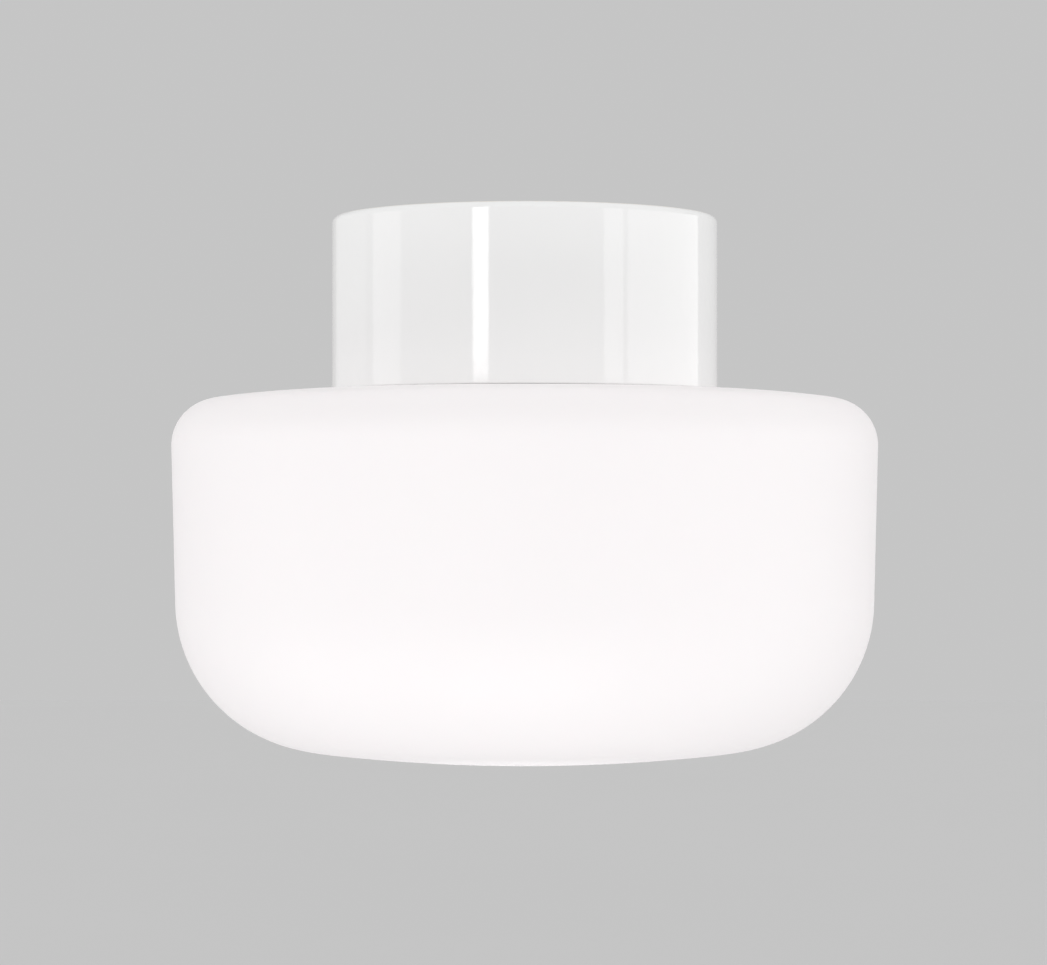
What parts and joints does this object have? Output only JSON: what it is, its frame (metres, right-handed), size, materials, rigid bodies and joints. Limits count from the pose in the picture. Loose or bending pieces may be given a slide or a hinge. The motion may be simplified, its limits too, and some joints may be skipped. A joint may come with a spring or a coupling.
{
  "type": "outdoor wall lamp",
  "caption": "Surface mounted outdoor lamp with a round glazed porcelain base and a matt opal glass drum shade that screws into it over an E27 bulb.",
  "frame": {"origin": "centre of the flat rear face that lies on the wall or ceiling", "axes": "+Z out of the rear face into the wall or ceiling, so the shade hangs towards -Z; +X along the mounting bridge towards the earth terminal"},
  "size_m": [0.2, 0.2, 0.1547],
  "materials": {
    "porcelain": "glossy white glaze",
    "opal_glass": "matt opal white, blown in three layers",
    "seal_rubber": "soft grey-white silicone",
    "grommet_rubber": "matt black rubber",
    "zinc_steel": "zinc plated",
    "fibre": "red vulcanised fibre",
    "brass": "bare brass",
    "nickel": "nickel plated",
    "block_plastic": "moulded white",
    "lead_brown": "brown insulation",
    "lead_blue": "blue insulation",
    "lead_green": "green and yellow insulation",
    "cap_insulator": "glossy black",
    "bulb_plastic": "moulded white",
    "bulb_diffuser": "frosted white",
    "aluminium": "bare sheet",
    "board_white": "white solder mask",
    "board_green": "green solder mask"
  },
  "bodies": {
    "base": {"base_shell": "porcelain", "rear_seal": "seal_rubber", "fixing_seal_1": "seal_rubber", "fixing_seal_2": "seal_rubber", "cable_grommet_1": "grommet_rubber", "cable_grommet_2": "grommet_rubber", "mounting_bridge": "zinc_steel", "bridge_screw_1": "zinc_steel", "bridge_screw_2": "zinc_steel", "bridge_washer_1": "fibre", "bridge_washer_2": "fibre", "bridge_nut_1": "zinc_steel", "bridge_nut_2": "zinc_steel", "insulating_sheet": "fibre", "holder_body": "porcelain", "holder_shell": "brass", "holder_screw_1": "zinc_steel", "holder_screw_2": "zinc_steel", "holder_rivet_1": "brass", "holder_rivet_2": "brass", "holder_terminal_1": "brass", "holder_terminal_2": "brass", "holder_terminal_screw_1": "zinc_steel", "holder_terminal_screw_2": "zinc_steel", "centre_contact_foot": "brass", "terminal_block": "block_plastic", "block_screw": "zinc_steel", "terminal_clamp_1": "brass", "terminal_clamp_2": "brass", "terminal_clamp_3": "brass", "clamp_screw_1": "zinc_steel", "clamp_screw_2": "zinc_steel", "clamp_screw_3": "zinc_steel", "clamp_screw_4": "zinc_steel", "clamp_screw_5": "zinc_steel", "clamp_screw_6": "zinc_steel", "lead_live": "lead_brown", "lead_neutral": "lead_blue", "lead_earth": "lead_green", "earth_lug": "nickel", "earth_screw": "brass"},
    "contact": {"centre_contact_tongue": "brass"},
    "shade_ring": {"shade_gasket": "seal_rubber"},
    "shade": {"shade_glass": "opal_glass"},
    "bulb_tip": {"bulb_contact": "nickel"},
    "bulb": {"bulb_cap": "nickel", "bulb_cap_insulator": "cap_insulator", "bulb_housing": "bulb_plastic", "bulb_heat_spreader": "aluminium", "bulb_led_board": "board_white", "bulb_driver_board": "board_green", "bulb_dome": "bulb_diffuser"}
  },
  "joints": [
    {"name": "shade_travel", "type": "slide", "parent": "base", "child": "shade_ring", "axis": [0, 0, -1], "range_m": [0, 0.0181]},
    {"name": "shade_unscrew", "type": "hinge", "parent": "shade_ring", "child": "shade", "pos_m": [0, 0, -0.0497], "axis": [0, 0, -1], "range_deg": [0, 1080]},
    {"name": "bulb_travel", "type": "slide", "parent": "base", "child": "bulb_tip", "axis": [0, 0, -1], "range_m": [0, 0.0164]},
    {"name": "bulb_unscrew", "type": "hinge", "parent": "bulb_tip", "child": "bulb", "pos_m": [0, 0, -0.0287], "axis": [0, 0, -1], "range_deg": [0, 1620]},
    {"name": "contact_press", "type": "hinge", "parent": "base", "child": "contact", "pos_m": [-0.006, 0, -0.02115], "axis": [0, -1, 0], "range_deg": [0, 4.5], "stiffness_Nm_per_rad": 0.01}
  ],
  "couplings": [
    {"joint": "shade_travel", "follows": "shade_unscrew", "m_per_rad": 0.00095493},
    {"joint": "bulb_travel", "follows": "bulb_unscrew", "m_per_rad": 0.00057757}
  ]
}
